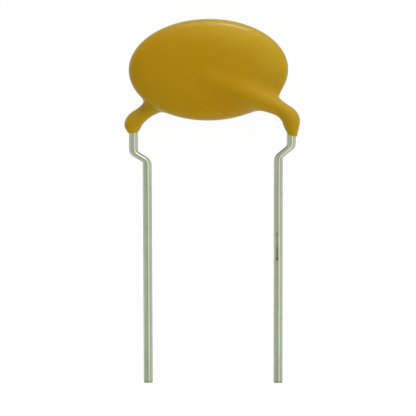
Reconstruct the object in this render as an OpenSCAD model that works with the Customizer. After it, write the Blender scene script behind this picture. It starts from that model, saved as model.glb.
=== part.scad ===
// Ceramic disc capacitor: an oval silvered ceramic plate, soldered between two kinked
// leads and dipped in epoxy. Lengths are in millimetres and angles in degrees.
//
// Every piece is drawn in the plate's own frame: X to the right across the marked face,
// Y up away from the leads, Z out of the marked face, and zero midway between the leads
// in the middle of the plate. lie_down() then lays the whole part on its back.
// Side -1 is the left lead, soldered to the back, and side 1 the right one, on the front.
// A pair of values in brackets is for the left side and the right side.

/* [Coat] */
// Width of the oval body
coat_w = 12.24; // [11.8:0.02:13]
// Height of the oval body
coat_h = 7.78; // [7.2:0.02:8.4]
// Thickness in the middle of the body
coat_t = 3.26; // [3.1:0.02:3.8]
// How far the body's middle lies to the left of the leads' middle
coat_shift = 0.36; // [0:0.02:0.6]
// How full the body is towards its rim: 2 is an ellipsoid
coat_fullness = 2.6; // [2:0.1:3.4]
// Reach of the rounded web where the epoxy climbs onto each lead
web = [1.54, 1.42]; // [1.3:0.02:2]
// How much farther each web reaches at the shoulder
web_gain = [0, 0.5]; // [0:0.05:0.6]
// Thickness of the epoxy film along a covered lead
film = 0.08; // [0.08:0.01:0.12]
// How far the film sits off the lead's centre, outwards
film_shift = 0.06; // [0:0.01:0.06]
// Swelling of the drop that gathers at each shoulder
drop = [0.42, 0.8]; // [0.3:0.02:0.86]
// Distance over which each drop thins out
drop_len = [0.9, 0.6]; // [0.56:0.02:0.94]
// How far each drop hangs outwards from the middle of its shoulder's bend
drop_out = [0.16, -0.06]; // [-0.2:0.01:0.2]
// How far each drop hangs down from there
drop_down = [0, 0.22]; // [-0.1:0.01:0.26]
// Distance of each leg's end below the body's middle
leg_low = [4.8, 5.05]; // [4.7:0.05:5.2]
// Length of the rounded lip at the end of each leg
lip = [0.6, 0.45]; // [0.1:0.05:0.7]

/* [Leads] */
// Diameter of the lead wire
lead_d = 0.65; // [0.55:0.05:0.7]
// Distance between the straight leads
pitch = 10; // [9.5:0.1:10.5]
// Distance of the tips below the body's middle
lead_len = 24; // [12:0.5:32]
// Chamfer at the cut tips
tip_cut = 0.08; // [0.02:0.01:0.15]
// Bend at each shoulder, at the wire's centre
shoulder_r = 0.9; // [0.8:0.05:1.1]
// Bends of each kink, at the wire's centre
kink_r = [0.5, 0.55]; // [0.4:0.01:0.6]
// How far the wire turns at each kink
kink_turn = [59, 51]; // [45:1:60]
// Distance of each kink's middle below the body's middle
kink_low = [6.69, 6.3]; // [6.2:0.05:7.5]
// Distance of each leg from the leads' middle
leg_x = [6.11, 6.04]; // [5.95:0.01:6.3]
// Distance below the body's middle at which a leg's line meets its run over the plate
corner_low = [3.98, 3.48]; // [3.4:0.02:4.2]
// Slope of each run over the plate
run_slope = [38, 23.4]; // [22:0.2:42]
// Length of each run over which it raises the coat
run_len = [4.3, 6.2]; // [4.2:0.1:6.4]
// How far each lead runs on from there over the plate
run_on = [1.4, 0]; // [0:0.1:1.6]

/* [Plate] */
// Width of the ceramic plate
plate_w = 9; // [8:0.1:9.6]
// Height of the ceramic plate
plate_h = 5.5; // [5:0.1:5.8]
// Thickness of the ceramic plate
plate_t = 1.5; // [1.3:0.05:1.6]
// Bare edge around each silver electrode
margin = 0.35; // [0.2:0.05:0.5]
// Thickness of a silver electrode
silver_t = 0.03; // [0.02:0.01:0.05]
// Solder under a lead
solder_gap = 0.05; // [0.03:0.01:0.08]
// Width of a solder joint where it meets the silver
solder_w = 1.3; // [1:0.05:1.5]
// Height of a solder joint over the silver
solder_h = 0.45; // [0.35:0.05:0.5]
// Length of a solder joint between its round ends
solder_len = 2; // [1.4:0.1:2.2]

/* [Rest] */
// How far the body leans over to the right when it lies on its back
rest_roll = 1.98; // [0:0.02:6]
// How far the leads slope down to the surface
rest_dip = 0.82; // [0:0.01:4]

/* [Hidden] */

mid_x = -coat_shift;
lead_r = lead_d / 2;
lead_z = plate_t / 2 + silver_t + solder_gap + lead_r;   // height of a lead over the plate's middle

round_fn = 48;        // facets of the wires and joints, and half those of the oval plates
bite = 0.02;          // how far a straight length of wire runs into a bend
swell = 0.002;        // how much thicker the wire is in a bend
solder_past = 0.32;   // how far a solder joint reaches past the end of its lead
hollow = 0.8;         // radius of a joint's hollow sides, as a share of its height

web_from = 3.66;      // distance from the leads' middle at which a web starts to reach farther
web_over = 2;         // stretch over which it does
both_within = 1.6;    // distance from the leads' middle within which both sleeves count
fade_len = [3.2, 3.8];       // stretch over which each ridge sinks into the body
fade_depth = [0.6, 0.45];    // how deep it sinks
core_slope = 0.05;    // keeps the body's field from growing steep in its core

planes = 40;          // cutting planes through each half of the coat
rays = 48;            // points around the coat in each plane
fan_power = 1.6;      // packs the planes closer at the legs
fan_drop = 1.2;       // how far the fan's pivot sinks on the way to the middle
neck_at = 0.5;        // distance from the shoulder's end at which the hub leaves the lead
thin = 0.55;          // reach of the rays in a leg
grow_from = 16;       // angles of the fan over which the rays grow to the size of the body
grow_over = 30;
neck_sink = 0.42;     // share of its height that the hub loses over the neck
neck_from = 20;       // angles of the fan over which it does, before it loses the rest
neck_over = 10;
flank_over = 35;
nearest = 0.02;       // shortest and longest reach along a ray, as a multiple of its length
farthest = 3.2;
halvings = 15;        // steps that find the surface between them

// The value of a pair that belongs to a side
function of_side(pair, s) = pair[s < 0 ? 0 : 1];
function smooth(t) = let (v = min(max(t, 0), 1)) v * v * (3 - 2 * v);

// ---- Lines of the leads, worked out for the right side ----

function leg_line(s) = of_side(leg_x, s);
function shoulder_turn(s) = 90 - of_side(run_slope, s);
function shoulder_y(s) = -of_side(corner_low, s) - shoulder_r * tan(shoulder_turn(s) / 2);
function shoulder_hub(s, x) = [x - shoulder_r, shoulder_y(s)];
function run_dir(s) = [-cos(of_side(run_slope, s)), sin(of_side(run_slope, s))];
function lead_run(s) = of_side(run_len, s) + of_side(run_on, s);
function run_start(s, x) = shoulder_hub(s, x)
    + shoulder_r * [cos(shoulder_turn(s)), sin(shoulder_turn(s))];

// Length of the slanting wire between a kink's two bends, and half the kink's height
function kink_diagonal(s) =
    (leg_line(s) - pitch / 2 - 2 * of_side(kink_r, s) * (1 - cos(of_side(kink_turn, s))))
    / sin(of_side(kink_turn, s));
function kink_half(s) =
    of_side(kink_r, s) * sin(of_side(kink_turn, s)) + kink_diagonal(s) / 2 * cos(of_side(kink_turn, s));

// ---- The coat's surface: field() is zero on it and below zero inside ----

// How far the point lies outside the oval body
function body_field(p) =
    let (ex = (p.x - mid_x) / (coat_w / 2),
         ey = p.y / (coat_h / 2),
         ez = abs(p.z) / (coat_t / 2),
         rho = norm([ex, ey]) + 1e-6,
         out = coat_fullness * pow(rho, coat_fullness - 2) * norm([ex / (coat_w / 2), ey / (coat_h / 2)]),
         up = 2 * ez / (coat_t / 2))
    (pow(rho, coat_fullness) + ez * ez - 1) / sqrt(out * out + up * up + core_slope);

// How far the point lies outside the film on a lead and the drop at its shoulder
function sleeve_field(q, s) =
    let (p = [s * q.x, q.y, q.z - s * lead_z],
         x = leg_line(s) + film_shift,
         turn = shoulder_turn(s),
         hub = shoulder_hub(s, x),
         leg = norm([p.x - x, p.y - min(p.y, hub.y), p.z]),
         at = min(max(atan2(p.y - hub.y, p.x - hub.x), 0), turn),
         on_bend = hub + shoulder_r * [cos(at), sin(at)],
         bend = norm([p.x - on_bend.x, p.y - on_bend.y, p.z]),
         start = run_start(s, x),
         flat = [p.x - start.x, p.y - start.y],
         t = min(max(flat * run_dir(s), 0), of_side(run_len, s)),
         off = flat - t * run_dir(s),
         sunk = of_side(fade_depth, s) * smooth((t - of_side(run_len, s)) / of_side(fade_len, s) + 1),
         run = norm([off.x, off.y, p.z]) + sunk,
         heart = hub + shoulder_r * [cos(turn / 2), sin(turn / 2)]
             + [of_side(drop_out, s), -of_side(drop_down, s)],
         far = norm([p.x - heart.x, p.y - heart.y, p.z]) / of_side(drop_len, s),
         edge = 1 - min(max(p.y + of_side(leg_low, s), 0) / of_side(lip, s), 1))
    min(leg, bend, run) - lead_r - film - of_side(drop, s) * exp(-far * far) * (1 - edge * edge);

// The lower of two fields, with a rounded web of reach w where they are alike
function webbed(a, b, w) = let (h = max(w - abs(a - b), 0)) min(a, b) - h * h / (4 * w);
function with_sleeve(a, p, s) = webbed(a, sleeve_field(p, s),
    of_side(web, s) + of_side(web_gain, s) * smooth((s * p.x - web_from) / web_over));

// The body with the sleeve on the point's own side, and with both near the middle
function field(p) =
    p.x > both_within ? with_sleeve(body_field(p), p, 1) :
    p.x < -both_within ? with_sleeve(body_field(p), p, -1) :
    with_sleeve(with_sleeve(body_field(p), p, -1), p, 1);

// ---- The coat as a loft ----
// Planes fan out from under the body, from w = 0 at a leg's end to w = 1 through the middle.
// In each plane, rays from a hub inside the coat find its surface.

function fan_angle(w) = 90 * pow(w, fan_power);
function fan_pivot(s, w) = [s * mid_x, -of_side(leg_low, s) - fan_drop * w * w];

// Where the line from p along d meets the line through a along e, as a distance along d
function meet(p, d, a, e) = cross(a - p, e) / cross(d, e);

// The hub in a plane lies on the lead as far as the neck, then on a straight line to the middle
function hub_in(s, w) =
    let (p = fan_pivot(s, w),
         d = [cos(fan_angle(w)), sin(fan_angle(w))],
         x = leg_line(s) + film_shift,
         hub = shoulder_hub(s, x),
         start = run_start(s, x),
         neck = start + neck_at * run_dir(s),
         c = (p - hub) * d,
         on_leg = p + meet(p, d, [x, 0], [0, 1]) * d,
         on_arc = p + (sqrt(max(c * c - (p - hub) * (p - hub) + shoulder_r * shoulder_r, 0)) - c) * d,
         on_run = p + meet(p, d, start, run_dir(s)) * d,
         on_rest = p + meet(p, d, neck, [s * mid_x, 0] - neck) * d)
    on_leg.y < hub.y ? on_leg :
    on_arc.y < start.y && on_arc.x > start.x ? on_arc :
    on_run.x > neck.x ? on_run : on_rest;

// The hub leaves the lead's height over the neck and reaches the plate's middle on the flank
function hub_z(s, angle) = s * lead_z
    * (1 - neck_sink * smooth((angle - neck_from) / neck_over)
         - (1 - neck_sink) * smooth((angle - neck_from - neck_over) / flank_over));

// Distance along a ray at which it leaves the coat, by halving
function exit_of(hub, ray, near, far, steps) =
    let (half = (near + far) / 2)
    steps == 0 ? half :
    field(hub + ray * half) < 0 ? exit_of(hub, ray, half, far, steps - 1)
                                : exit_of(hub, ray, near, half, steps - 1);

function ring(s, w) =
    let (angle = fan_angle(w),
         c = hub_in(s, w),
         hub = [s * c.x, c.y, hub_z(s, angle)],
         grow = smooth((angle - grow_from) / grow_over),
         wide = thin + (coat_h / 2 - thin) * grow,
         deep = thin + (coat_t / 2 - thin) * grow,
         out = [s * cos(angle), sin(angle), 0])
    [for (j = [0 : rays - 1])
        let (a = 360 * j / rays, ray = wide * cos(a) * out + [0, 0, deep * sin(a)])
        hub + ray * exit_of(hub, ray, nearest, farthest, halvings)];

rings = [for (i = [0 : planes]) ring(-1, i / planes),
         for (i = [planes - 1 : -1 : 0]) ring(1, i / planes)];
skin = [for (r = rings) each r];

module coat_skin() {
    last = (len(rings) - 1) * rays;
    polyhedron(skin, concat(
        [[for (j = [0 : rays - 1]) j], [for (j = [rays - 1 : -1 : 0]) last + j]],
        [for (i = [0 : len(rings) - 2], j = [0 : rays - 1])
            let (a = i * rays + j, b = i * rays + (j + 1) % rays)
            each [[a, b + rays, b], [a, a + rays, b + rays]]]));
}

// ---- What the coat holds ----

function oval(w, h) = [for (i = [0 : 2 * round_fn - 1])
    let (a = 180 * i / round_fn) [w / 2 * cos(a), h / 2 * sin(a)]];

module plate(w, h, t) {
    translate([mid_x, 0, 0]) linear_extrude(t, center = true) polygon(oval(w, h));
}

module silver(s) {
    translate([0, 0, s * (plate_t + silver_t) / 2])
        plate(plate_w - 2 * margin, plate_h - 2 * margin, silver_t);
}

// Straight lead from its cut tip along Y, with what follows drawn at its end
module from_tip(length) {
    end = length + bite;
    rotate([-90, 0, 0]) rotate_extrude($fn = round_fn)
        polygon([[0, 0], [lead_r - tip_cut, 0], [lead_r, tip_cut], [lead_r, end], [0, end]]);
    translate([0, length, 0]) children();
}

// A straight length of wire between bends, along Y, with what follows drawn at its end
module ahead(length) {
    translate([0, -bite, 0]) rotate([-90, 0, 0])
        cylinder(h = length + 2 * bite, r = lead_r, $fn = round_fn);
    translate([0, length, 0]) children();
}

// A bend of the wire, to the left where s is 1 and to the right where it is -1, with what
// follows drawn at its end
module bend(s, r, turn) {
    translate([-s * r, 0, 0]) {
        rotate([0, 0, s < 0 ? 180 - turn : 0]) rotate_extrude(angle = turn, $fn = 2 * round_fn)
            translate([r, 0]) circle(lead_r + swell, $fn = round_fn);
        rotate([0, 0, s * turn]) translate([s * r, 0, 0]) children();
    }
}

// Straight lead, kink, leg, shoulder and the run over the plate
module lead_wire(s) {
    r = of_side(kink_r, s);
    turn = of_side(kink_turn, s);
    low = -of_side(kink_low, s) - kink_half(s);
    high = -of_side(kink_low, s) + kink_half(s);
    translate([s * pitch / 2, -lead_len, s * lead_z])
        from_tip(low + lead_len)
        bend(-s, r, turn)
        ahead(kink_diagonal(s))
        bend(s, r, turn)
        ahead(shoulder_y(s) - high)
        bend(s, shoulder_r, shoulder_turn(s))
        ahead(lead_run(s));
}

// Half of a joint's section: the solder climbs to the lead in a hollow curve
module solder_half() {
    difference() {
        square([solder_w / 2, solder_h]);
        translate([solder_w / 2, solder_h]) circle(solder_h * hollow, $fn = round_fn);
    }
}

module solder_end() {
    rotate_extrude($fn = round_fn) solder_half();
}

// Mound of solder along the end of the run, drawn on the front and turned over for the back
module solder_mound(s) {
    end = run_start(s, leg_line(s)) + (lead_run(s) + solder_past) * run_dir(s);
    mirror([s < 0 ? 1 : 0, 0, 0]) mirror([0, 0, s < 0 ? 1 : 0])
        translate([end.x, end.y, plate_t / 2 + silver_t]) rotate([0, 0, -of_side(run_slope, s)]) {
            solder_end();
            rotate([90, 0, 90]) linear_extrude(solder_len) {
                solder_half();
                mirror([1, 0]) solder_half();
            }
            translate([solder_len, 0, 0]) solder_end();
        }
}

module solder_joint(s) {
    difference() {
        solder_mound(s);
        lead_wire(s);
    }
}

// ---- How the part lies ----

// Where a point goes when the part tilts onto its back
function tilted(p) =
    let (y = p.y * cos(rest_dip) - p.z * sin(rest_dip),
         z = p.y * sin(rest_dip) + p.z * cos(rest_dip))
    [p.x * cos(rest_roll) + z * sin(rest_roll), y, z * cos(rest_roll) - p.x * sin(rest_roll)];

// The lowest point of each tip's rim and the farthest of its cut end
down = [sin(rest_roll), 0, -cos(rest_dip) * cos(rest_roll)];
tip_points = [for (s = [-1, 1]) each [
    [s * pitch / 2, tip_cut - lead_len, s * lead_z] + lead_r * down / norm(down),
    [s * pitch / 2, -lead_len, s * lead_z + lead_r - tip_cut]]];

// The box of the tilted part: its bottom rests on the surface, and its middle is the origin
laid = [for (p = concat(skin, tip_points)) tilted(p)];
box_low = [for (k = [0 : 2]) min([for (p = laid) p[k]])];
box_high = [for (k = [0 : 2]) max([for (p = laid) p[k]])];
rest_shift = [-(box_low.x + box_high.x) / 2, -(box_low.y + box_high.y) / 2, -box_low.z];

module lie_down() {
    translate(rest_shift) rotate([rest_dip, rest_roll, 0]) children();
}

// ---- The sub-parts ----

module epoxy_coat() {
    color("#b08a1e") lie_down() difference() {
        coat_skin();
        plate(plate_w, plate_h, plate_t);
        for (s = [-1, 1]) {
            silver(s);
            solder_mound(s);
            lead_wire(s);
        }
    }
}

module ceramic_plate() {
    color("#c8b090") lie_down() plate(plate_w, plate_h, plate_t);
}

module front_electrode() {
    color("#d8d8d4") lie_down() silver(1);
}

module back_electrode() {
    color("#d8d8d4") lie_down() silver(-1);
}

module front_solder() {
    color("#a8aaa8") lie_down() solder_joint(1);
}

module back_solder() {
    color("#a8aaa8") lie_down() solder_joint(-1);
}

module left_lead() {
    color("#b4bcb0") lie_down() lead_wire(-1);
}

module right_lead() {
    color("#b4bcb0") lie_down() lead_wire(1);
}

epoxy_coat();
ceramic_plate();
front_electrode();
back_electrode();
front_solder();
back_solder();
left_lead();
right_lead();
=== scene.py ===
import math

import bpy
import numpy as np
from mathutils import Matrix, Vector


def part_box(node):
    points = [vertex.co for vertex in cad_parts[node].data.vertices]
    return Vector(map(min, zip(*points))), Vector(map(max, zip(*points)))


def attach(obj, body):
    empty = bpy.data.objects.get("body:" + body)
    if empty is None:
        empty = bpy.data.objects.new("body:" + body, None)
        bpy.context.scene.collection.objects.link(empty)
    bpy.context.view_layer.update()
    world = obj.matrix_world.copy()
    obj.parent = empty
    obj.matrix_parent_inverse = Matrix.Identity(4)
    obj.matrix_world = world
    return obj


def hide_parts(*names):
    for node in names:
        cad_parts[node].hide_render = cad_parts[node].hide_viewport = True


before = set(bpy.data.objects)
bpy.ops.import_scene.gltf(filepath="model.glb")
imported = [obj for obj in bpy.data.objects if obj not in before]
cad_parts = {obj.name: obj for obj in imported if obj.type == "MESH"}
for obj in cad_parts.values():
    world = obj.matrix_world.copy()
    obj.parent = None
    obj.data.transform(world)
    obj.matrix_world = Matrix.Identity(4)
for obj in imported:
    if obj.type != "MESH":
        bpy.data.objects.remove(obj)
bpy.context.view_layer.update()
print("frame loaded with", len(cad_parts), "nodes")

# Pieces are worked out in millimetres in the plate's own frame: X across the marked face,
# Y up away from the leads, Z out of that face. toRow lays them on the back, in metres.
plate = {"middle": (-0.36, 0, 0), "dip": 0.82, "roll": 1.98}
mm = 0.001

dip, roll = math.radians(plate["dip"]), math.radians(plate["roll"])
turned = np.array(Matrix.Rotation(roll, 3, "Y") @ Matrix.Rotation(dip, 3, "X"))
plateLow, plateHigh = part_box("ceramic_plate")
plateOrigin = np.array((plateLow + plateHigh) / 2) - turned @ np.array(plate["middle"]) * mm


def toRow(points):
    return plateOrigin + np.asarray(points, float) @ turned.T * mm


# A shader socket that takes part in sums: each operator adds a Math node
class Sock:
    def __init__(self, tree, socket):
        self.tree, self.socket = tree, socket

    # Links this socket to a node's input
    def feed(self, slot):
        self.tree.links.new(self.socket, slot)

    def math(self, operation, *values):
        node = self.tree.nodes.new("ShaderNodeMath")
        node.operation = operation
        setInputs(node.inputs, values)
        return Sock(self.tree, node.outputs[0])

    def __add__(self, other):
        return self.math("ADD", self, other)

    def __radd__(self, other):
        return self.math("ADD", other, self)

    def __sub__(self, other):
        return self.math("SUBTRACT", self, other)

    def __rsub__(self, other):
        return self.math("SUBTRACT", other, self)

    def __mul__(self, other):
        return self.math("MULTIPLY", self, other)

    def __rmul__(self, other):
        return self.math("MULTIPLY", other, self)

    def __truediv__(self, other):
        return self.math("DIVIDE", self, other)

    def __abs__(self):
        return self.math("ABSOLUTE", self)

    def clamped(self):
        return self.math("MINIMUM", self.math("MAXIMUM", self, 0.0), 1.0)

    # 0 below low, 1 above high, and t * t * (3 - 2 t) between them
    def ramp(self, low, high):
        t = ((self - low) / (high - low)).clamped()
        return t * t * (3 - 2 * t)


# Links each value that is a socket to its input, and sets the others
def setInputs(slots, values):
    for slot, value in zip(slots, values):
        if isinstance(value, Sock):
            value.feed(slot)
        else:
            slot.default_value = value


# A node tree with one way to add a node: its type, its settings, then its inputs in order or
# by name. It gives back the outputs that are in use, or the one that "out" names.
class Shader:
    def __init__(self, owner):
        owner.use_nodes = True
        self.tree = owner.node_tree
        self.tree.nodes.clear()

    def node(self, kind, *values, settings=None, out=0, **sockets):
        node = self.tree.nodes.new(kind)
        for name, value in (settings or {}).items():
            setattr(node, name, value)
        setInputs(node.inputs, values)
        names = [name.replace("_", " ").lower() for name in sockets]
        slots = [next(s for s in node.inputs if s.enabled and s.name.lower() == name) for name in names]
        setInputs(slots, sockets.values())
        outputs = [Sock(self.tree, slot) for slot in node.outputs if slot.enabled]
        if out == "all":
            return outputs
        return outputs[out] if isinstance(out, int) else Sock(self.tree, node.outputs[out])

    def mix(self, factor, a, b):
        return self.node("ShaderNodeMix", settings={"data_type": "RGBA"}, Factor=factor, A=a, B=b)

    # The place on the piece, in millimetres in the plate's frame
    def place(self):
        raw = self.node("ShaderNodeTexCoord", out="Object")
        return self.node("ShaderNodeMapping", settings={"vector_type": "TEXTURE"}, Vector=raw,
                         Location=tuple(plateOrigin), Rotation=tuple(Matrix(turned.tolist()).to_euler()),
                         Scale=(mm, mm, mm))

    def parts(self, vector):
        return self.node("ShaderNodeSeparateXYZ", vector, out="all")

    def scaled(self, vector, factors):
        return self.node("ShaderNodeVectorMath", vector, factors, settings={"operation": "MULTIPLY"})

    def noise(self, vector, scale, detail=2.0, roughness=0.5):
        return self.node("ShaderNodeTexNoise", Vector=vector, Scale=scale, Detail=detail, Roughness=roughness)

    def bump(self, height, strength, depth):
        return self.node("ShaderNodeBump", Strength=strength, Distance=depth * mm, Height=height)

    def attribute(self, name):
        return self.node("ShaderNodeAttribute", settings={"attribute_name": name}, out="Fac")

    def lightPath(self, kind):
        return self.node("ShaderNodeLightPath", out="Is " + kind + " Ray")

    def principled(self, **sockets):
        self.finish(self.node("ShaderNodeBsdfPrincipled", **sockets))

    def finish(self, shader, output="ShaderNodeOutputMaterial"):
        shader.feed(self.tree.nodes.new(output).inputs["Surface"])


def newMaterial(name):
    made = bpy.data.materials.new(name)
    return made, Shader(made)


def addToScene(made):
    bpy.context.scene.collection.objects.link(made)
    return made


# Faces of a tube of rings with a point at each end: vertex 0 is the first pole, then the
# rings in order, then the last pole
def tubeFaces(rings, rays):
    at = 1 + np.arange(rings * rays).reshape(rings, rays)
    nextAt = np.roll(at, -1, axis=1)
    quads = np.stack([at[:-1], nextAt[:-1], nextAt[1:], at[1:]], axis=-1).reshape(-1, 4)
    first = np.stack([np.zeros(rays, int), nextAt[0], at[0]], axis=-1)
    last = np.stack([np.full(rays, 1 + rings * rays), at[-1], nextAt[-1]], axis=-1)
    return quads, np.concatenate([first, last])


def tubePoints(rings, poles):
    return np.concatenate([poles[:1], rings.reshape(-1, 3), poles[1:]])


# Volume inside the faces, positive where they point outwards: the sum of a . (b x c) / 6
def volumeInside(points, quads, triangles):
    corners = np.concatenate([quads[:, :3], quads[:, [0, 2, 3]], triangles])
    a, b, c = points[corners[:, 0]], points[corners[:, 1]], points[corners[:, 2]]
    return np.einsum("ij,ij->i", a, np.cross(b, c)).sum() / 6


def tubeObject(name, rings, poles, uv=None):
    points = tubePoints(rings, poles)
    quads, triangles = tubeFaces(*rings.shape[:2])
    if volumeInside(points - points.mean(0), quads, triangles) < 0:
        quads, triangles = quads[:, ::-1], triangles[:, ::-1]
    mesh = bpy.data.meshes.new(name)
    mesh.from_pydata(toRow(points).tolist(), [], quads.tolist() + triangles.tolist())
    mesh.polygons.foreach_set("use_smooth", np.ones(len(mesh.polygons), bool))
    if uv is not None:
        perVertex = np.concatenate([uv[:1, 0], uv.reshape(-1, 2), uv[-1:, 0]])
        corner = np.empty(len(mesh.loops), np.int32)
        mesh.loops.foreach_get("vertex_index", corner)
        layer = mesh.uv_layers.new(name="along")
        layer.data.foreach_set("uv", perVertex[corner].astype(np.float32).ravel())
    mesh.update()
    print("made", name, "with", len(mesh.polygons), "faces")
    return addToScene(bpy.data.objects.new(name, mesh))


# A pair of values is for the left side and the right side. Distances called low are below the
# body's middle, and slopes and turns are in degrees.
lead = {
    "wire": 0.65,                                # diameter
    "pitch": 10,                                 # between the straight leads
    "tip": (24.04, 24),                          # how low the tips are
    "height": 1.155,                             # the wire's centre from the plate's mid-plane
    "shoulder": 0.9,                             # radius of the bend from the leg to the run
    "kinkRadius": (0.5, 0.55), "kinkTurn": (59, 51), "kinkLow": (6.69, 6.3),
    "leg": (6.09, 6.01),                         # the legs from the leads' middle
    "cornerLow": (3.91, 3.5),                    # where a leg's line meets its run's
    "slope": (34.5, 23.4),                       # of the runs over the plate
    "run": (4.3, 6.2), "runOn": (1.4, 0)}        # the run that raises the coat, and the rest of it

coat = {
    "middle": -0.33, "lift": -0.015, "lean": 0.46,            # the oval's place, and its turn
    "width": 12.24, "height": 7.805, "thick": 3.26,
    "fullness": 2.75, "square": 2.4,                          # its powers across the face and through it
    "coreSlope": 0.05,                                        # keeps its field finite at its heart
    "film": (0.1, 0.11), "filmShift": (0.055, 0.085),         # round the covered leads, and outwards
    "fadeLength": (3.2, 3.8), "fadeDepth": (0.6, 0.45),       # how a run's film sinks at its end
    "drop": (0.4, 0.92), "dropReach": (0.97, 0.58),           # swelling at the shoulder
    "dropOut": (0.06, -0.04), "dropDown": (0.23, 0.28),       # its place from the bend's middle
    "web": (1.38, 1.38), "webGain": (0, 0.42), "webFrom": 3.66, "webOver": 2,  # from body to film
    "webCut": (0.4, 0), "cutFrom": 0.5, "cutOver": 0.6,       # less on the face away from the lead
    "bothWithin": 1.6,                                        # a film's reach past the body's middle
    "legLow": (4.8, 5.05), "lip": (0.6, 0.45),                # the legs' ends
    "lipThin": (0.08, 0.12), "lipOver": 0.5,                  # how the film thins towards them
    "lipSlant": (2, 8), "slantWithin": 0.16,                  # their cut
    "lipTurns": (90, 60, 30), "lipDraw": 0.17, "lipDrop": 0.06,
    "nearWithin": 0.7,                                        # where the skin counts as near a lead
    "planes": 150, "rays": 208,                               # sampling of each half
    "halvings": 24, "reach": (0.02, 3.2),                     # the search along a ray
    "crowding": 1.6, "footDrop": 1.2, "neck": 0.5,            # how the planes spread from the leg's end
    "firstSink": (20, 10, 0.42), "lastSink": (30, 35, 0.58),  # from, over, share of the hub's way in
    "growFrom": 16, "growOver": 30, "thin": 0.55}             # how the rays grow from leg to body


def ofSide(pair, side):
    return pair[0 if side < 0 else 1]


# t * t * (3 - 2 t), with t held between 0 and 1
def smooth(t):
    v = np.clip(t, 0, 1)
    return v * v * (3 - 2 * v)


def unit(degrees):
    a = np.radians(degrees)
    return np.stack([np.cos(a), np.sin(a)], axis=-1)


# Where a lead's line runs on its side: leg, bend at the shoulder, run over the plate
def shoulderOf(side):
    x = ofSide(lead["leg"], side) + ofSide(coat["filmShift"], side)
    slope = ofSide(lead["slope"], side)
    turn = 90 - slope
    y = -ofSide(lead["cornerLow"], side) - lead["shoulder"] * math.tan(math.radians(turn / 2))
    hub = np.array([x - lead["shoulder"], y])
    return {"x": x, "turn": turn, "hub": hub, "start": hub + lead["shoulder"] * unit(turn),
            "dir": unit(180 - slope)}


# Oval body, turned a little in its plane: (rho ^ fullness + ez ^ square - 1) over its slope,
# where rho goes across the face and ez through it
def bodyField(p):
    a, b, c = coat["width"] / 2, coat["height"] / 2, coat["thick"] / 2
    x, y, (along, up) = p[..., 0] - coat["middle"], p[..., 1] - coat["lift"], unit(coat["lean"])
    ex, ey, ez = (x * along + y * up) / a, (y * along - x * up) / b, np.abs(p[..., 2]) / c
    full, square, tiny = coat["fullness"], coat["square"], 1e-6
    rho = np.hypot(ex, ey) + tiny
    out = full * rho ** (full - 2) * np.hypot(ex / a, ey / b)
    rise = square * (ez + tiny) ** (square - 1) / c
    return (rho ** full + ez ** square - 1) / np.sqrt(out * out + rise * rise + coat["coreSlope"])


# Film on a lead: distance to the lead's line less the wire and the film, less a drop that
# swells as exp(-far ^ 2) round the shoulder and ends in a lip
def sleeveField(q, side):
    s = shoulderOf(side)
    x, y, z = side * q[..., 0], q[..., 1], q[..., 2] - side * lead["height"]
    hub, start, way = s["hub"], s["start"], s["dir"]
    leg = np.sqrt((x - s["x"]) ** 2 + (y - np.minimum(y, hub[1])) ** 2 + z * z)
    at = np.clip(np.degrees(np.arctan2(y - hub[1], x - hub[0])), 0, s["turn"])
    onBend = hub + lead["shoulder"] * unit(at)
    bend = np.sqrt((x - onBend[..., 0]) ** 2 + (y - onBend[..., 1]) ** 2 + z * z)
    run = ofSide(lead["run"], side)
    t = np.clip((x - start[0]) * way[0] + (y - start[1]) * way[1], 0, run)
    sunk = ofSide(coat["fadeDepth"], side) * smooth((t - run) / ofSide(coat["fadeLength"], side) + 1)
    straight = np.sqrt((x - start[0] - t * way[0]) ** 2 + (y - start[1] - t * way[1]) ** 2 + z * z) + sunk
    heart = hub + lead["shoulder"] * unit(s["turn"] / 2)
    heart = heart + np.array([ofSide(coat["dropOut"], side), -ofSide(coat["dropDown"], side)])
    far = np.sqrt((x - heart[0]) ** 2 + (y - heart[1]) ** 2 + z * z) / ofSide(coat["dropReach"], side)
    edge = 1 - np.clip((y + ofSide(coat["legLow"], side)) / ofSide(coat["lip"], side), 0, 1)
    return (np.minimum(np.minimum(leg, bend), straight) - lead["wire"] / 2 - ofSide(coat["film"], side)
            - ofSide(coat["drop"], side) * np.exp(-far * far) * (1 - edge * edge))


# The lower of two fields with a rounded web: min(a, b) - h ^ 2 / (4 web), h = web - |a - b|
def webbed(a, b, web):
    h = np.maximum(web - np.abs(a - b), 0)
    return np.minimum(a, b) - h * h / (4 * web)


# The reach of a side's web grows by its gain from "webFrom" outwards, and it is cut on the
# face away from the lead, where the rim meets the sleeve in a crease
def coatField(p):
    field, x, farAway = bodyField(p), p[..., 0], 1e3
    for side in (-1, 1):
        sleeve = np.where(side * x < -coat["bothWithin"], farAway, sleeveField(p, side))
        gain = ofSide(coat["webGain"], side) * smooth((side * x - coat["webFrom"]) / coat["webOver"])
        away = smooth((coat["cutFrom"] - side * p[..., 2]) / coat["cutOver"])
        cut = 1 - ofSide(coat["webCut"], side) * away
        field = webbed(field, sleeve, (ofSide(coat["web"], side) + gain) * cut)
    return field


# Distance along the line from p by d to the line through a by e
def meet(p, d, a, e):
    w = a - p
    return (w[..., 0] * e[..., 1] - w[..., 1] * e[..., 0]) / (d[..., 0] * e[..., 1] - d[..., 1] * e[..., 0])


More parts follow.
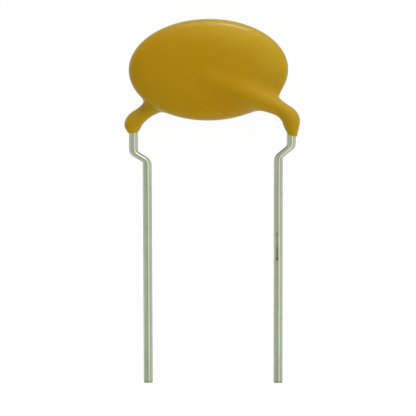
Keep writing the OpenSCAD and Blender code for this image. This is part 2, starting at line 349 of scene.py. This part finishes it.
# The planes of half of the coat: they fan out from under the body, from w = 0 at the leg's end to
# w = 1 through the middle, at 90 w ^ crowding degrees. Each one's hub is where it crosses the lead's
# line: its leg, its bend, its run, and last the line from the run's neck to the body's middle.
def coatPlanes(side):
    s = shoulderOf(side)
    w = np.linspace(0, 1, coat["planes"] + 1)
    angle = 90 * w ** coat["crowding"]
    d = unit(angle)
    middle = side * coat["middle"]
    foot = -ofSide(coat["legLow"], side) - coat["footDrop"] * w * w
    p = np.stack([np.full_like(w, middle), foot], axis=-1)
    neck = s["start"] + coat["neck"] * s["dir"]
    toHub = ((p - s["hub"]) * d).sum(-1)
    inBend = toHub ** 2 - ((p - s["hub"]) ** 2).sum(-1) + lead["shoulder"] ** 2
    onArc = p + (np.sqrt(np.maximum(inBend, 0)) - toHub)[:, None] * d
    onLeg = p + meet(p, d, np.array([s["x"], 0]), np.array([0.0, 1.0]))[:, None] * d
    onRun = p + meet(p, d, s["start"], s["dir"])[:, None] * d
    onRest = p + meet(p, d, neck, np.array([middle, 0]) - neck)[:, None] * d
    hub = np.where((onRun[:, :1] > neck[0]), onRun, onRest)
    hub = np.where((onArc[:, 1:] < s["start"][1]) & (onArc[:, :1] > s["start"][0]), onArc, hub)
    return w, angle, d, np.where(onLeg[:, 1:] < s["hub"][1], onLeg, hub)


# Half of the coat: in each plane, rays from the hub inside find where the field is zero. Then the
# film thins out towards the leg's end, which is cut at a slant that fades out up the leg.
def coatHalf(side):
    w, angle, d, hub = coatPlanes(side)
    sinks = (coat["firstSink"], coat["lastSink"])
    sunk = [share * smooth((angle - start) / over) for start, over, share in sinks]
    z = side * lead["height"] * (1 - sunk[0] - sunk[1])
    grow = smooth((angle - coat["growFrom"]) / coat["growOver"])
    wide = coat["thin"] + (coat["height"] / 2 - coat["thin"]) * grow
    deep = coat["thin"] + (coat["thick"] / 2 - coat["thin"]) * grow
    a = np.linspace(0, 2 * np.pi, coat["rays"], endpoint=False)
    ray = np.stack([side * (wide * d[:, 0])[:, None] * np.cos(a), (wide * d[:, 1])[:, None] * np.cos(a),
                    deep[:, None] * np.sin(a)], axis=-1)
    centre = np.stack([side * hub[:, 0], hub[:, 1], z], axis=-1)[:, None, :]
    near, far = (np.full(ray.shape[:2], reach) for reach in coat["reach"])
    for _ in range(coat["halvings"]):
        half = (near + far) / 2
        inside = coatField(centre + ray * half[..., None]) < 0
        near, far = np.where(inside, half, near), np.where(inside, far, half)
    grid = centre + ray * ((near + far) / 2)[..., None]
    above = grid[..., 1] + ofSide(coat["legLow"], side)
    drawn = 1 - ofSide(coat["lipThin"], side) * (1 - smooth(above / coat["lipOver"]))
    for axis, core in ((0, side * ofSide(lead["leg"], side)), (2, z[:, None])):
        grid[..., axis] = core + (grid[..., axis] - core) * drawn
    slant = math.tan(math.radians(ofSide(coat["lipSlant"], side)))
    level = 1 - smooth(w / coat["slantWithin"])
    grid[..., 1] -= slant * (side * grid[..., 0] - shoulderOf(side)["x"]) * level[:, None]
    return grid


# The lip at a leg's end: the ring draws in as 1 - draw (1 - cos a) while it drops as sin a
def coatLip(ring, side):
    core = np.array([side * ofSide(lead["leg"], side), ring[:, 1].mean(), side * lead["height"]])
    a = np.radians(coat["lipTurns"])[:, None, None]
    drawn = core + (ring - core) * (1 - coat["lipDraw"] * (1 - np.cos(a)))
    drawn[..., 1] = ring[:, 1] - coat["lipDrop"] * np.sin(a[..., 0])
    return drawn, core - np.array([0, coat["lipDrop"], 0])


# Both halves and lips as one tube. "nearLead" is 1 on the thin film over the leads and falls to 0
# away from them, and "sideways" is 0 where the skin faces up or down and 1 at the rim. The epoxy's
# colour uses both to place painted light.
def makeCoat():
    left, right = coatHalf(-1), coatHalf(1)
    leftLip, leftPole = coatLip(left[0], -1)
    rightLip, rightPole = coatLip(right[0], 1)
    rings = np.concatenate([leftLip, left, right[-2::-1], rightLip[::-1]])
    poles = np.array([leftPole, rightPole])
    made = tubeObject("epoxyCoat", rings, poles)
    points = tubePoints(rings, poles)
    toLead = np.minimum(sleeveField(points, -1), sleeveField(points, 1))
    normals = np.empty(points.size)
    made.data.vertex_normals.foreach_get("vector", normals)
    values = {"nearLead": 1 - smooth(toLead / coat["nearWithin"]),
              "sideways": 1 - np.abs(normals.reshape(-1, 3) @ turned[:, 2])}
    for name, value in values.items():
        made.data.attributes.new(name, "FLOAT", "POINT").data.foreach_set("value", value)
    return made


wire = {
    "wide": 1.03, "flat": 0.26, "spread": 0.06,  # pressed a little flat in the kink
    "bendOver": 0.5, "bendOff": 0.1,             # how that fades in and out
    "lean": (0.29, 0.07),                        # of the straight, in towards its tip, in degrees
    "out": (0.04, 0.016),                        # how much wider than the pitch it is at the kink
    "soften": 0.2,                               # length over which a bend's start is eased
    "tipRound": 0.07, "tipDraw": 0.25,           # length and depth of the rounded cut
    "around": 48, "rings": 640, "samples": 8001,
    "ringShares": (0, 0.45, 0.85, 1), "denseBelow": 0.4, "denseAbove": 1.6}  # closer in the kink


# A lead's line: its heading turns evenly in each bend, is averaged over a short stretch, and the
# line is the running sum of steps along it. Returns how far along the wire each ring is, its
# place, its heading and how deep it is in the kink.
def leadLine(side):
    r, turn = ofSide(lead["kinkRadius"], side), math.radians(ofSide(lead["kinkTurn"], side))
    offset = ofSide(lead["leg"], side) - lead["pitch"] / 2 - ofSide(wire["out"], side)
    diagonal = (offset - 2 * r * (1 - math.cos(turn))) / math.sin(turn)
    halfKink = r * math.sin(turn) + diagonal / 2 * math.cos(turn)
    low, high = -ofSide(lead["kinkLow"], side) - halfKink, -ofSide(lead["kinkLow"], side) + halfKink
    s = shoulderOf(side)
    shoulderTurn = math.radians(s["turn"])
    tip = ofSide(lead["tip"], side)
    lengths = [low + tip, r * turn, diagonal, r * turn, s["hub"][1] - high,
               lead["shoulder"] * shoulderTurn, ofSide(lead["run"], side) + ofSide(lead["runOn"], side)]
    lean = math.radians(ofSide(wire["lean"], side))
    headings = [lean, lean, turn, turn, 0, 0, -shoulderTurn, -shoulderTurn]
    knots = np.concatenate([[0], np.cumsum(lengths)])
    fine = np.linspace(0, knots[-1], wire["samples"])
    step = fine[1] - fine[0]
    window = np.ones(2 * int(wire["soften"] / step / 2) + 1)
    held = np.pad(np.interp(fine, knots, headings), len(window) // 2, mode="edge")
    heading = np.convolve(held, window / len(window), mode="valid")
    between = (heading[1:] + heading[:-1]) / 2
    x = np.concatenate([[0], np.cumsum(np.sin(between))]) * step
    y = np.concatenate([[0], np.cumsum(np.cos(between))]) * step - tip
    x += ofSide(lead["leg"], side) - np.interp((knots[4] + knots[5]) / 2, fine, x)
    marks = [0, knots[1] - wire["denseBelow"], knots[4] + wire["denseAbove"], knots[-1]]
    along = np.interp(np.linspace(0, 1, wire["rings"]), wire["ringShares"], marks)
    bent = (smooth((along - knots[1]) / wire["bendOver"])
            * smooth((knots[4] - wire["bendOff"] - along) / wire["bendOver"]))
    return along, *(np.interp(along, fine, values) for values in (x, y, heading)), bent


# A tube round that line: across cos(a) in the plane of the bends and sin(a) out of it, with a
# rounded cut at the tip, 1 - draw (1 - sqrt(1 - drop ^ 2))
def makeLead(name, side):
    along, x, y, heading, bent = leadLine(side)
    r, z = lead["wire"] / 2, side * lead["height"]
    a = np.linspace(0, 2 * np.pi, wire["around"], endpoint=False)
    drop = np.clip(1 - along / wire["tipRound"], 0, 1)
    tight = 1 - wire["tipDraw"] * (1 - np.sqrt(1 - drop * drop))
    across = (r * wire["wide"] * (1 - wire["flat"] * bent) * tight)[:, None] * np.cos(a)
    through = (r * (1 + wire["spread"] * bent) * tight)[:, None] * np.sin(a)
    rings = np.stack([side * (x[:, None] + np.cos(heading)[:, None] * across),
                      y[:, None] - np.sin(heading)[:, None] * across, z + through], axis=-1)
    poles = np.array([[side * x[0], y[0], z], [side * x[-1], y[-1], z]])
    uv = np.stack(np.broadcast_arrays(along[:, None], r * a[None, :]), axis=-1)
    return tubeObject(name, rings, poles, uv)


# Glossy dipped epoxy: ochre with browner patches. A lit, yellower copy of the ochre is painted light:
# it grows towards the top right, where across x + up y + cloud noise is high (the cloud noise is random
# tone), and it also lies on the thin film over the leads and at the rim. The rim also has a painted dark
# olive reflection. Its skin has a faint orange peel. A pair is where a tone begins and where it is full,
# and scales are per millimetre.
def epoxyMaterial():
    look = {
        # The yellow tone is a brighter, lit copy of the ochre: painted light
        "ochre": (0.338, 0.190, 0.0004, 1), "litYellow": (0.362, 0.232, 0.007, 1),
        "brown": (0.322, 0.174, 0.0004, 1), "reflectionOlive": (0.27, 0.185, 0.014, 1),
        "cloudScale": 0.22, "speckScale": 2.6, "clouds": 0.8, "specks": 0.25, "brownOver": (0.45, 0.75),
        "across": 0.1, "up": 0.16, "cloudy": 0.7, "litOver": (0.35, 1.3),
        # Over the leads and at the rim the lit tone is painted light, and the olive at the rim is a painted
        # reflection
        "rimOver": (0.3, 0.65), "paintedLeadLight": 0.4, "paintedRimLight": 0.4, "paintedRimReflection": 0.7,
        "roughness": 0.27, "roughSpread": 0.06, "shine": 0.11,
        "peelScale": 1.7, "waveScale": 0.55, "peel": 0.5, "waves": 1.2, "bump": 0.25, "bumpDepth": 0.03}
    made, sh = newMaterial("ochreEpoxy")
    place = sh.place()
    x, y = sh.parts(place)[:2]
    cloud = sh.noise(place, look["cloudScale"], 1.0)
    speck = sh.noise(place, look["speckScale"], 3.0)
    browner = (look["clouds"] * cloud + look["specks"] * speck).ramp(*look["brownOver"])
    rim = sh.attribute("sideways").ramp(*look["rimOver"])
    # Painted light: brighter and yellower towards the top right along across x + up y, with random cloud
    # noise mixed in
    topRightLightAndClouds = (look["across"] * x + look["up"] * y + look["cloudy"] * cloud).ramp(*look["litOver"])
    # Painted light: the lit tone also goes on the film over the leads and on the rim
    paintedLightAndClouds = (topRightLightAndClouds + look["paintedLeadLight"] * sh.attribute("nearLead") + look["paintedRimLight"] * rim).clamped()
    colour = sh.mix(paintedLightAndClouds, sh.mix(browner, look["ochre"], look["brown"]), look["litYellow"])
    # Painted reflection: a dark olive tone at the rim
    colour = sh.mix(look["paintedRimReflection"] * rim, colour, look["reflectionOlive"])
    peel = sh.noise(place, look["peelScale"], 2.0, 0.45)
    waves = sh.noise(place, look["waveScale"], 1.0)
    skinBump = sh.bump(peel * look["peel"] + waves * look["waves"], look["bump"], look["bumpDepth"])
    sh.principled(Base_Color=colour, Roughness=look["roughness"] + look["roughSpread"] * (speck - 0.5),
                  Specular_IOR_Level=look["shine"], Normal=skinBump)
    return made


# Tinned wire: satin metal with draw lines along it, read from the wire's own length and girth in
# millimetres, duller towards the tip and dark on the rim of the cut. The right one has a fine dark
# scuff some way above its tip, with a spot at its lower end. Its shine is tinted near black at grazing
# angles, which is painted shade along the wire's sides. Pairs are as in the epoxy.
def wireMaterial():
    look = {
        "tin": (0.60, 0.665, 0.5, 1), "dull": (0.50, 0.56, 0.415, 1), "worn": (0.40, 0.45, 0.31, 1),
        "cut": (0.22, 0.26, 0.17, 1), "scuff": (0.12, 0.12, 0.09, 1), "edge": (0.05, 0.05, 0.05, 1),
        "lineScale": (0.09, 9.0, 1.0), "cloudScale": (0.7, 1.6, 1.0), "lines": 0.6, "clouds": 0.4,
        "dullOver": (0.35, 0.65), "wornMost": 0.3, "wornOver": (0.3, 3.5), "cutMost": 0.8,
        "cutOver": (0.02, 0.2), "scuffGirth": 0.6, "scuffWidth": (0.02, 0.09), "scuffLow": (9.4, 9.5),
        "scuffHigh": (11.3, 11.7), "scuffLeast": 0.35, "scuffMore": 0.5, "scuffOver": (0.3, 0.6),
        "spotAt": 9.45, "spotWidth": (0.05, 0.14), "spotLength": (0.05, 0.16), "spotMost": 0.6,
        "roughness": 0.18, "roughSpread": 0.1, "bump": 0.12, "bumpDepth": 0.01}
    made, sh = newMaterial("tinnedWire")
    uv = sh.node("ShaderNodeUVMap", settings={"uv_map": "along"})
    length, girth = sh.parts(uv)[:2]
    lines = sh.noise(sh.scaled(uv, look["lineScale"]), 1.0, 3.0, 0.6)
    cloud = sh.noise(sh.scaled(uv, look["cloudScale"]), 1.0, 2.0)
    duller = (look["lines"] * lines + look["clouds"] * cloud).ramp(*look["dullOver"])
    colour = sh.mix(duller, look["tin"], look["dull"])
    colour = sh.mix(look["wornMost"] * (1.0 - length.ramp(*look["wornOver"])), colour, look["worn"])
    colour = sh.mix(look["cutMost"] * (1.0 - length.ramp(*look["cutOver"])), colour, look["cut"])
    aside = abs(girth - look["scuffGirth"])
    scratch = length.ramp(*look["scuffLow"]) * (1 - length.ramp(*look["scuffHigh"]))
    scratch = scratch * (1 - aside.ramp(*look["scuffWidth"]))
    scratch = scratch * (look["scuffLeast"] + look["scuffMore"] * cloud.ramp(*look["scuffOver"]))
    spot = 1 - abs(length - look["spotAt"]).ramp(*look["spotLength"])
    spot = look["spotMost"] * spot * (1 - aside.ramp(*look["spotWidth"]))
    onRight = sh.parts(sh.place())[0].ramp(0, 1)
    colour = sh.mix(onRight * (scratch + spot).clamped(), colour, look["scuff"])
    # The edge tint is near black, so the metal's grazing reflection goes dark: painted shade along the wire's
    # sides
    sh.principled(Base_Color=colour, Metallic=1.0, Specular_Tint=look["edge"],
                  Roughness=look["roughness"] + look["roughSpread"] * (cloud - 0.5),
                  Normal=sh.bump(lines, look["bump"], look["bumpDepth"]))
    return made


# The hidden pieces: two tones mixed by a fine grain, whose scale is per millimetre
inner = {
    "firedCeramic": {"light": (0.60, 0.50, 0.37, 1), "dark": (0.48, 0.38, 0.26, 1),
                     "grain": 6.0, "roughness": 0.75, "metallic": 0.0, "nodes": ["ceramic_plate"]},
    "firedSilver": {"light": (0.80, 0.80, 0.77, 1), "dark": (0.66, 0.66, 0.63, 1),
                    "grain": 9.0, "roughness": 0.4, "metallic": 1.0,
                    "nodes": ["front_electrode", "back_electrode"]},
    "dullSolder": {"light": (0.55, 0.56, 0.55, 1), "dark": (0.42, 0.43, 0.42, 1),
                   "grain": 4.0, "roughness": 0.35, "metallic": 1.0,
                   "nodes": ["front_solder", "back_solder"]}}
grain = {"darkOver": (0.35, 0.65), "roughSpread": 0.2, "bump": 0.3, "bumpDepth": 0.01}


def grainMaterial(name, look):
    made, sh = newMaterial(name)
    speck = sh.noise(sh.place(), look["grain"], 3.0, 0.6)
    sh.principled(Base_Color=sh.mix(speck.ramp(*grain["darkOver"]), look["dark"], look["light"]),
                  Roughness=look["roughness"] + grain["roughSpread"] * (speck - 0.5),
                  Metallic=look["metallic"], Normal=sh.bump(speck, grain["bump"], grain["bumpDepth"]))
    return made


def dress(piece, material):
    piece.data.materials.clear()
    piece.data.materials.append(material)


coatPiece = makeCoat()
dress(coatPiece, epoxyMaterial())
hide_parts("epoxy_coat")
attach(coatPiece, "root")

tinned = wireMaterial()
for name, node, side in (("leftWire", "left_lead", -1), ("rightWire", "right_lead", 1)):
    piece = makeLead(name, side)
    dress(piece, tinned)
    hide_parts(node)
    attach(piece, "root")

for name, look in inner.items():
    material = grainMaterial(name, look)
    for node in look["nodes"]:
        dress(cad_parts[node], material)
print("materials assigned")

# Directions are in the plate's frame, distances in metres, strengths are radiances, and 1 is
# white. A pair is where a band of light begins and where it is full.
studio = {
    "floorRadius": 0.6, "floorCorners": 96, "floorWhite": 0.9, "floorGlow": 0.96,
    "skyDiffuse": 0.732, "overhead": 0.46,
    "leftGain": 0.18, "leftOver": (0.1, 0.5), "leftLow": 0.1, "lowOver": (0.8, 0.98),
    "rightGain": 0.68, "rightOver": (0.12, 0.3), "rightFade": 0.75, "rightFadeOver": (0.6, 0.9),
    "topGain": 1.9, "topOver": (0.15, 0.75), "topFade": 0.7, "topFadeOver": (0.8, 1.0),
    "topMiddle": 0.15, "topWidth": (0.2, 0.6)}

# A panel lights matt surfaces only, a strip is seen in shiny ones only
panel = {"distance": 0.34, "size": (0.26, 0.11), "mirrored": False}
strip = {"distance": 0.25, "mirrored": True}
lamps = {
    "topPanel": {**panel, "way": (-0.33, 0.91, 0.26), "power": 0.574},
    "keyPanel": {**panel, "way": (0.56, 0.79, 0.25), "power": 0.202},
    "rightPanel": {**panel, "way": (0.776, 0.137, 0.616), "power": 0.501},
    "lowerPanel": {**panel, "way": (0.052, -0.993, 0.105), "power": 0.506},
    "rightStrip": {**strip, "way": (0.24, 0.97, 0.04), "size": (0.07, 0.018), "power": 0.25},
    "leftStrip": {**strip, "way": (-0.02, 1, 0.04), "size": (0.12, 0.018), "power": 0.12}}


# Seen directly or mirrored, the floor is mostly its own white, so a shadow on it stays light
def floorMaterial():
    made, sh = newMaterial("paperFloor")
    seen = sh.lightPath("Camera") + sh.lightPath("Glossy") + sh.lightPath("Transmission")
    white = studio["floorWhite"]
    matte = sh.node("ShaderNodeBsdfDiffuse", Color=(white, white, white, 1))
    glow = sh.node("ShaderNodeEmission", Color=(1, 1, 1, 1), Strength=1.0)
    sh.finish(sh.node("ShaderNodeMixShader", seen.clamped() * studio["floorGlow"], matte, glow))
    return made


def makeFloor():
    a = np.linspace(0, 2 * np.pi, studio["floorCorners"], endpoint=False)
    rim = np.stack([np.cos(a), np.sin(a), np.zeros_like(a)], axis=-1) * studio["floorRadius"]
    mesh = bpy.data.meshes.new("paperFloor")
    mesh.from_pydata(rim.tolist(), [], [list(range(len(a)))])
    made = addToScene(bpy.data.objects.new("paperFloor", mesh))
    dress(made, floorMaterial())


# What shiny surfaces mirror: a dim ceiling, a little more to the left, a bright bank to the
# right of overhead, and a soft glow that rises towards the top
def makeWorld():
    world = bpy.data.worlds.new("softRoom")
    bpy.context.scene.world = world
    sh = Shader(world)
    seen = (sh.lightPath("Camera") + sh.lightPath("Transmission")).clamped()
    x, y = sh.parts(sh.node("ShaderNodeTexCoord", out="Generated"))[:2]
    left = 0.0 - x
    right = x.ramp(*studio["rightOver"]) * (1.0 - studio["rightFade"] * x.ramp(*studio["rightFadeOver"]))
    top = y.ramp(*studio["topOver"]) * (1.0 - studio["topFade"] * y.ramp(*studio["topFadeOver"]))
    top = top * (1.0 - abs(x - studio["topMiddle"]).ramp(*studio["topWidth"]))
    mirrored = (studio["overhead"] + studio["leftGain"] * left.ramp(*studio["leftOver"])
                - studio["leftLow"] * left.ramp(*studio["lowOver"])
                + studio["rightGain"] * right + studio["topGain"] * top)
    glossy = sh.lightPath("Glossy")
    strength = seen + (1 - seen) * (glossy * mirrored + (1 - glossy) * studio["skyDiffuse"])
    sky = sh.node("ShaderNodeBackground", Color=(1, 1, 1, 1), Strength=strength)
    sh.finish(sky, "ShaderNodeOutputWorld")


def makeLamp(name, lamp):
    data = bpy.data.lights.new(name, "AREA")
    data.shape, data.energy = "RECTANGLE", lamp["power"]
    data.size, data.size_y = lamp["size"]
    made = addToScene(bpy.data.objects.new(name, data))
    direction = Vector((turned @ np.array(lamp["way"])).tolist()).normalized()
    made.location = Vector(toRow([0, 0, 0]).tolist()) + direction * lamp["distance"]
    made.rotation_euler = (-direction).to_track_quat("-Z", "Y").to_euler()
    made.visible_camera = False
    made.visible_glossy, made.visible_diffuse = lamp["mirrored"], not lamp["mirrored"]


# The camera looks straight down on the marked face. Its aim, the width that it shows there and
# its distance are in the plate's frame.
shot = {"aim": (-0.364, -10.62, 0), "width": 31.9, "distance": 550, "sensor": 36, "clip": (0.01, 10)}


def makeCamera():
    data = bpy.data.cameras.new("camera")
    data.sensor_width = shot["sensor"]
    data.lens = shot["sensor"] * shot["distance"] / shot["width"]
    data.clip_start, data.clip_end = shot["clip"]
    made = addToScene(bpy.data.objects.new("camera", data))
    made.location = toRow(np.array(shot["aim"]) + (0, 0, shot["distance"])).tolist()
    made.rotation_euler = Matrix(turned.tolist()).to_euler()
    bpy.context.scene.camera = made


makeFloor()
makeWorld()
for name, lamp in lamps.items():
    makeLamp(name, lamp)
makeCamera()
bpy.context.scene.view_settings.view_transform = "Standard"
print("stage, lamps and camera ready")
